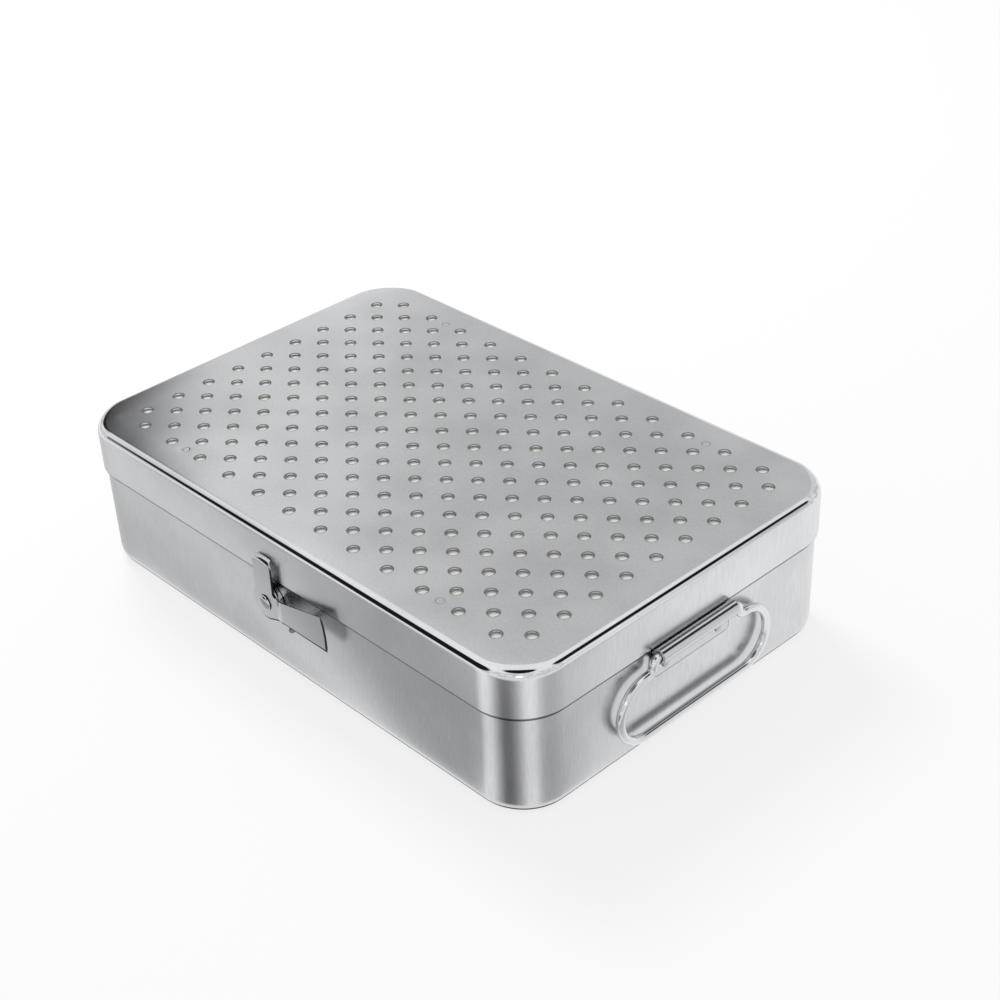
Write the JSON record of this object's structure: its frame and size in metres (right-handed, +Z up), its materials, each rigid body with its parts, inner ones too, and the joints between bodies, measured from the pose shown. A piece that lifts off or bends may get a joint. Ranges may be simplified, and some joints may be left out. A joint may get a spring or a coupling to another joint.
{
  "type": "sterilization container",
  "caption": "Flat stainless steel box with rounded corners, a lift-off perforated lid with a filter inside, a turning latch at the front and bent-wire drop handles at the ends.",
  "frame": {"origin": "middle of the base's underside, on the surface it stands on", "axes": "+X along the box's length, +Z up, and the latch on the -Y side"},
  "size_m": [0.3118, 0.2048, 0.075],
  "materials": {
    "satin_stainless_steel": "satin drawn sheet",
    "polished_stainless_steel": "polished",
    "filter_paper": "matt white paper"
  },
  "bodies": {
    "base": {"base_pan": "satin_stainless_steel", "latch_spacer": "polished_stainless_steel", "latch_rivet": "polished_stainless_steel", "latch_washer": "polished_stainless_steel", "latch_stop_pin": "polished_stainless_steel", "handle_hinge_right": "polished_stainless_steel", "handle_hinge_left": "polished_stainless_steel", "handle_rivet_right_front": "polished_stainless_steel", "handle_rivet_right_back": "polished_stainless_steel", "handle_rivet_left_front": "polished_stainless_steel", "handle_rivet_left_back": "polished_stainless_steel"},
    "lid": {"lid_shell": "satin_stainless_steel", "filter_sheet": "filter_paper", "filter_frame": "satin_stainless_steel", "filter_stud_front_right": "satin_stainless_steel", "filter_stud_back_right": "satin_stainless_steel", "filter_stud_back_left": "satin_stainless_steel", "filter_stud_front_left": "satin_stainless_steel", "filter_nut_front_right": "satin_stainless_steel", "filter_nut_back_right": "satin_stainless_steel", "filter_nut_back_left": "satin_stainless_steel", "filter_nut_front_left": "satin_stainless_steel", "catch_stud": "polished_stainless_steel"},
    "latch": {"latch_plate": "polished_stainless_steel"},
    "handle_right": {"handle_wire_right": "polished_stainless_steel"},
    "handle_left": {"handle_wire_left": "polished_stainless_steel"}
  },
  "joints": [
    {"name": "lid_lift", "type": "slide", "parent": "base", "child": "lid", "axis": [0, 0, 1], "range_m": [0, 0.09]},
    {"name": "latch_turn", "type": "hinge", "parent": "base", "child": "latch", "pos_m": [-0.0069, -0.1024, 0.0387], "axis": [0, -1, 0], "range_deg": [0, 90]},
    {"name": "handle_right_swing", "type": "hinge", "parent": "base", "child": "handle_right", "pos_m": [0.15235, 0, 0.04845], "axis": [0, -1, 0], "range_deg": [0, 165]},
    {"name": "handle_left_swing", "type": "hinge", "parent": "base", "child": "handle_left", "pos_m": [-0.15235, 0, 0.04845], "axis": [0, 1, 0], "range_deg": [0, 165]}
  ]
}
